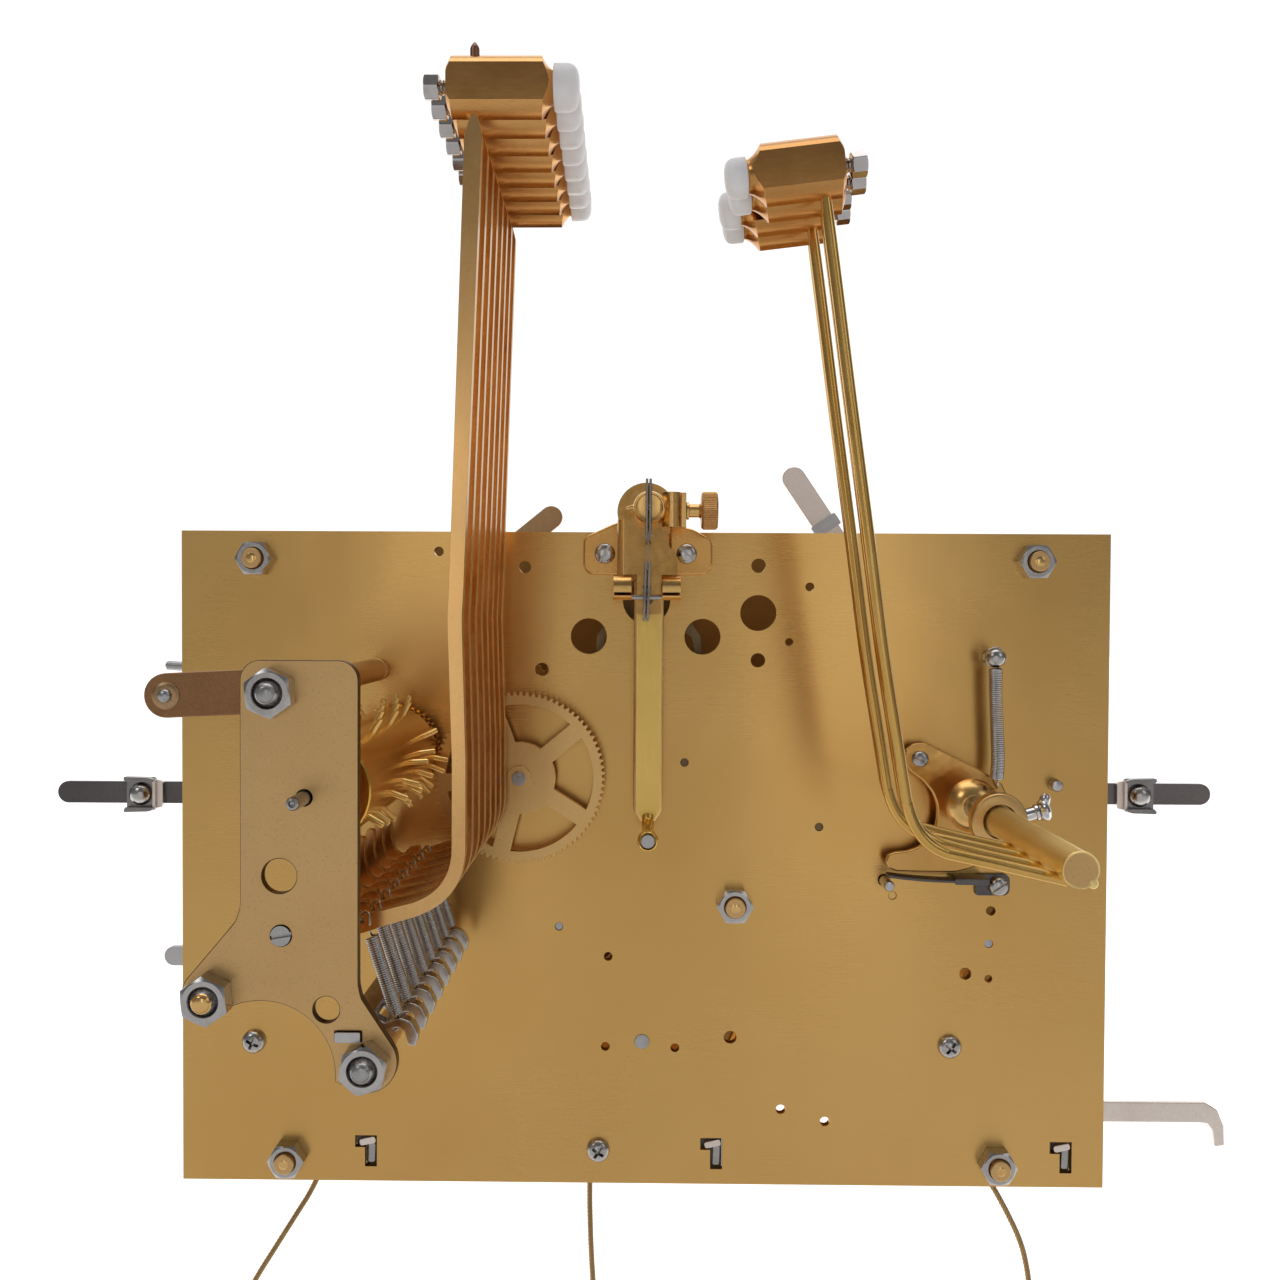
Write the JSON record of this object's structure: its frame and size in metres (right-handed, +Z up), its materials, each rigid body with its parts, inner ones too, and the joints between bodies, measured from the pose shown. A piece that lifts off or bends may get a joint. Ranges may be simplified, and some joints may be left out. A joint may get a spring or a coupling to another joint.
{
  "type": "longcase clock movement",
  "caption": "Cable-driven longcase clock movement: twin brass plates, going, strike and chime trains, pinned chime drum, hammer banks, suspension cock and crutch.",
  "frame": {"origin": "centre of the two seat bolt holes in the lower pillars, on the seat plane at the bottom edge of the plates, midway between the plates", "axes": "+X to the right seen from behind the movement, +Y from the back plate to the dial side, +Z up"},
  "size_m": [0.3486, 0.1928, 0.3083],
  "materials": {
    "plate_brass": "brushed golden brass, clear lacquer",
    "satin_brass": "satin tan brass",
    "polished_brass": "polished brass",
    "wheel_brass": "milled brass",
    "hammer_brass": "drawn and stamped brass, lacquered",
    "bright_steel": "nickel plated steel",
    "dark_steel": "plain drawn steel",
    "cable_bronze": "twisted bronze wire cable"
  },
  "bodies": {
    "movement_frame": {"back_plate": "plate_brass", "front_plate": "plate_brass", "pillars": "satin_brass", "pillar_nuts": "bright_steel", "phillips_screws": "bright_steel", "slotted_screws": "bright_steel", "latch_tabs": "bright_steel", "plate_studs": "bright_steel", "chime_bracket": "satin_brass", "chime_bracket_posts": "satin_brass", "chime_bracket_nuts": "bright_steel", "hammer_arbor": "bright_steel", "spring_comb": "bright_steel", "chime_hammer_springs": "dark_steel", "suspension_cock": "polished_brass", "strike_leaf": "dark_steel", "strike_return_spring": "dark_steel", "cable_left": "cable_bronze", "cable_middle": "cable_bronze", "cable_right": "cable_bronze", "cable_hooks": "bright_steel"},
    "anchor_and_crutch": {"anchor": "dark_steel", "crutch": "satin_brass"},
    "strike_hammer_set": {"strike_arbor": "polished_brass", "strike_hammers": "hammer_brass"},
    "drum_shift_lever": {"drum_shift_lever": "satin_brass"},
    "top_right_lever": {"top_right_lever": "bright_steel"},
    "bottom_lever": {"bottom_lever": "bright_steel"},
    "suspension_spring": {"suspension_spring": "dark_steel"},
    "left_lever": {"left_lever": "dark_steel"},
    "right_lever": {"right_lever": "dark_steel"},
    "beat_screw": {"beat_screw": "polished_brass"},
    "escape_wheel": {"escape_wheel": "wheel_brass"},
    "third_wheel": {"third_wheel": "wheel_brass"},
    "centre_wheel": {"centre_wheel": "wheel_brass"},
    "going_intermediate_wheel": {"going_intermediate_wheel": "wheel_brass"},
    "going_barrel": {"going_barrel": "wheel_brass"},
    "going_great_wheel": {"going_great_wheel": "wheel_brass"},
    "minute_wheel": {"minute_wheel": "wheel_brass"},
    "hour_wheel": {"hour_wheel": "wheel_brass"},
    "strike_barrel": {"strike_barrel": "wheel_brass"},
    "strike_great_wheel": {"strike_great_wheel": "wheel_brass"},
    "strike_second_wheel": {"strike_second_wheel": "wheel_brass"},
    "strike_third_wheel": {"strike_third_wheel": "wheel_brass"},
    "strike_fly": {"strike_fly": "wheel_brass"},
    "chime_barrel": {"chime_barrel": "wheel_brass"},
    "chime_great_wheel": {"chime_great_wheel": "wheel_brass"},
    "chime_second_wheel": {"chime_second_wheel": "wheel_brass"},
    "chime_wheel": {"chime_wheel": "wheel_brass"},
    "chime_fly": {"chime_fly": "wheel_brass"},
    "chime_drum": {"chime_drum": "wheel_brass"},
    "top_left_lever": {"top_left_lever": "wheel_brass"},
    "chime_hammer_1": {"chime_hammer_1": "hammer_brass"},
    "chime_hammer_2": {"chime_hammer_2": "hammer_brass"},
    "chime_hammer_3": {"chime_hammer_3": "hammer_brass"},
    "chime_hammer_4": {"chime_hammer_4": "hammer_brass"},
    "chime_hammer_5": {"chime_hammer_5": "hammer_brass"},
    "chime_hammer_6": {"chime_hammer_6": "hammer_brass"},
    "chime_hammer_7": {"chime_hammer_7": "hammer_brass"},
    "chime_hammer_8": {"chime_hammer_8": "hammer_brass"}
  },
  "joints": [
    {"name": "going_barrel_turn", "type": "hinge", "parent": "movement_frame", "child": "going_barrel", "pos_m": [0, 0, 0.036], "axis": [0, 1, 0], "continuous": true},
    {"name": "strike_barrel_turn", "type": "hinge", "parent": "movement_frame", "child": "strike_barrel", "pos_m": [0.07, 0, 0.036], "axis": [0, 1, 0], "continuous": true},
    {"name": "chime_barrel_turn", "type": "hinge", "parent": "movement_frame", "child": "chime_barrel", "pos_m": [-0.07, 0, 0.036], "axis": [0, 1, 0], "continuous": true},
    {"name": "going_great_wheel_turn", "type": "hinge", "parent": "movement_frame", "child": "going_great_wheel", "pos_m": [0, 0, 0.036], "axis": [0, 1, 0], "continuous": true},
    {"name": "strike_great_wheel_turn", "type": "hinge", "parent": "movement_frame", "child": "strike_great_wheel", "pos_m": [0.07, 0, 0.036], "axis": [0, 1, 0], "continuous": true},
    {"name": "chime_great_wheel_turn", "type": "hinge", "parent": "movement_frame", "child": "chime_great_wheel", "pos_m": [-0.07, 0, 0.036], "axis": [0, 1, 0], "continuous": true},
    {"name": "going_intermediate_wheel_turn", "type": "hinge", "parent": "movement_frame", "child": "going_intermediate_wheel", "pos_m": [-0.021, 0, 0.065], "axis": [0, 1, 0], "continuous": true},
    {"name": "centre_wheel_turn", "type": "hinge", "parent": "movement_frame", "child": "centre_wheel", "pos_m": [0, 0, 0.087], "axis": [0, 1, 0], "continuous": true},
    {"name": "third_wheel_turn", "type": "hinge", "parent": "movement_frame", "child": "third_wheel", "pos_m": [0.0103, 0, 0.1065], "axis": [0, 1, 0], "continuous": true},
    {"name": "escape_wheel_turn", "type": "hinge", "parent": "movement_frame", "child": "escape_wheel", "pos_m": [0.0012, 0, 0.124], "axis": [0, 1, 0], "continuous": true},
    {"name": "minute_wheel_turn", "type": "hinge", "parent": "movement_frame", "child": "minute_wheel", "pos_m": [-0.0136, 0, 0.0734], "axis": [0, 1, 0], "continuous": true},
    {"name": "hour_wheel_turn", "type": "hinge", "parent": "movement_frame", "child": "hour_wheel", "pos_m": [0, 0, 0.087], "axis": [0, 1, 0], "continuous": true},
    {"name": "strike_second_wheel_turn", "type": "hinge", "parent": "movement_frame", "child": "strike_second_wheel", "pos_m": [0.0868, 0, 0.0614], "axis": [0, 1, 0], "continuous": true},
    {"name": "strike_third_wheel_turn", "type": "hinge", "parent": "movement_frame", "child": "strike_third_wheel", "pos_m": [0.0626, 0, 0.0734], "axis": [0, 1, 0], "continuous": true},
    {"name": "strike_fly_turn", "type": "hinge", "parent": "movement_frame", "child": "strike_fly", "pos_m": [0.0441, 0, 0.0905], "axis": [0, 1, 0], "continuous": true},
    {"name": "chime_second_wheel_turn", "type": "hinge", "parent": "movement_frame", "child": "chime_second_wheel", "pos_m": [-0.055, 0, 0.0629], "axis": [0, 1, 0], "continuous": true},
    {"name": "chime_wheel_turn", "type": "hinge", "parent": "movement_frame", "child": "chime_wheel", "pos_m": [-0.0305, 0, 0.1031], "axis": [0, 1, 0], "continuous": true},
    {"name": "chime_drum_turn", "type": "hinge", "parent": "movement_frame", "child": "chime_drum", "pos_m": [-0.0609, 0, 0.1104], "axis": [0, 1, 0], "continuous": true},
    {"name": "chime_fly_turn", "type": "hinge", "parent": "movement_frame", "child": "chime_fly", "pos_m": [-0.04401, 0, 0.12906], "axis": [0, 1, 0], "continuous": true},
    {"name": "chime_hammer_1_lift", "type": "hinge", "parent": "movement_frame", "child": "chime_hammer_1", "pos_m": [-0.0651, 0, 0.0854], "axis": [0, -1, 0], "range_deg": [0, 12]},
    {"name": "chime_hammer_2_lift", "type": "hinge", "parent": "movement_frame", "child": "chime_hammer_2", "pos_m": [-0.0651, 0, 0.0854], "axis": [0, -1, 0], "range_deg": [0, 12]},
    {"name": "chime_hammer_3_lift", "type": "hinge", "parent": "movement_frame", "child": "chime_hammer_3", "pos_m": [-0.0651, 0, 0.0854], "axis": [0, -1, 0], "range_deg": [0, 12]},
    {"name": "chime_hammer_4_lift", "type": "hinge", "parent": "movement_frame", "child": "chime_hammer_4", "pos_m": [-0.0651, 0, 0.0854], "axis": [0, -1, 0], "range_deg": [0, 12]},
    {"name": "chime_hammer_5_lift", "type": "hinge", "parent": "movement_frame", "child": "chime_hammer_5", "pos_m": [-0.0651, 0, 0.0854], "axis": [0, -1, 0], "range_deg": [0, 12]},
    {"name": "chime_hammer_6_lift", "type": "hinge", "parent": "movement_frame", "child": "chime_hammer_6", "pos_m": [-0.0651, 0, 0.0854], "axis": [0, -1, 0], "range_deg": [0, 12]},
    {"name": "chime_hammer_7_lift", "type": "hinge", "parent": "movement_frame", "child": "chime_hammer_7", "pos_m": [-0.0651, 0, 0.0854], "axis": [0, -1, 0], "range_deg": [0, 12]},
    {"name": "chime_hammer_8_lift", "type": "hinge", "parent": "movement_frame", "child": "chime_hammer_8", "pos_m": [-0.0651, 0, 0.0854], "axis": [0, -1, 0], "range_deg": [0, 12]},
    {"name": "strike_hammer_lift", "type": "hinge", "parent": "movement_frame", "child": "strike_hammer_set", "pos_m": [0.081, 0, 0.097], "axis": [0, 1, 0], "range_deg": [0, 10], "deforming": ["strike_return_spring"]},
    {"name": "anchor_rock", "type": "hinge", "parent": "movement_frame", "child": "anchor_and_crutch", "pos_m": [0.0012, 0, 0.147], "axis": [0, 1, 0], "range_deg": [-3, 3]},
    {"name": "suspension_flex", "type": "hinge", "parent": "movement_frame", "child": "suspension_spring", "pos_m": [0.0012, 0, 0.1686], "axis": [0, 1, 0], "range_deg": [-3, 3], "stiffness_Nm_per_rad": 0.002},
    {"name": "beat_screw_turn", "type": "hinge", "parent": "movement_frame", "child": "beat_screw", "pos_m": [0.0074, -0.0445, 0.1685], "axis": [1, 0, 0], "continuous": true},
    {"name": "left_lever_swing", "type": "hinge", "parent": "movement_frame", "child": "left_lever", "pos_m": [-0.095, 0, 0.0886], "axis": [0, 1, 0], "range_deg": [-5, 5]},
    {"name": "right_lever_swing", "type": "hinge", "parent": "movement_frame", "child": "right_lever", "pos_m": [0.095, 0, 0.09], "axis": [0, 1, 0], "range_deg": [-5, 5]},
    {"name": "top_left_lever_swing", "type": "hinge", "parent": "movement_frame", "child": "top_left_lever", "pos_m": [-0.054, 0, 0.1516], "axis": [0, 1, 0], "range_deg": [-6, 6]},
    {"name": "top_right_lever_swing", "type": "hinge", "parent": "movement_frame", "child": "top_right_lever", "pos_m": [0.081, 0, 0.1306], "axis": [0, 1, 0], "range_deg": [-6, 6]},
    {"name": "bottom_lever_swing", "type": "hinge", "parent": "movement_frame", "child": "bottom_lever", "pos_m": [0.111, 0, 0.012], "axis": [0, 1, 0], "range_deg": [-5, 5]},
    {"name": "drum_shift_lever_swing", "type": "hinge", "parent": "movement_frame", "child": "drum_shift_lever", "pos_m": [-0.0665, 0, 0.1294], "axis": [0, 1, 0], "range_deg": [-6, 6]}
  ],
  "couplings": [
    {"joint": "going_intermediate_wheel_turn", "follows": "centre_wheel_turn", "ratio": -0.16667},
    {"joint": "going_great_wheel_turn", "follows": "centre_wheel_turn", "ratio": 0.027778},
    {"joint": "third_wheel_turn", "follows": "centre_wheel_turn", "ratio": -7.5},
    {"joint": "escape_wheel_turn", "follows": "centre_wheel_turn", "ratio": 60},
    {"joint": "minute_wheel_turn", "follows": "centre_wheel_turn", "ratio": -0.33333},
    {"joint": "hour_wheel_turn", "follows": "centre_wheel_turn", "ratio": 0.083333},
    {"joint": "strike_great_wheel_turn", "follows": "strike_second_wheel_turn", "ratio": -0.14286},
    {"joint": "strike_third_wheel_turn", "follows": "strike_second_wheel_turn", "ratio": -4.6667},
    {"joint": "strike_fly_turn", "follows": "strike_second_wheel_turn", "ratio": 25.2},
    {"joint": "chime_second_wheel_turn", "follows": "chime_wheel_turn", "ratio": -1.1346},
    {"joint": "chime_great_wheel_turn", "follows": "chime_wheel_turn", "ratio": 0.16209},
    {"joint": "chime_fly_turn", "follows": "chime_wheel_turn", "ratio": -5.9},
    {"joint": "chime_drum_turn", "follows": "chime_wheel_turn", "ratio": -2}
  ]
}
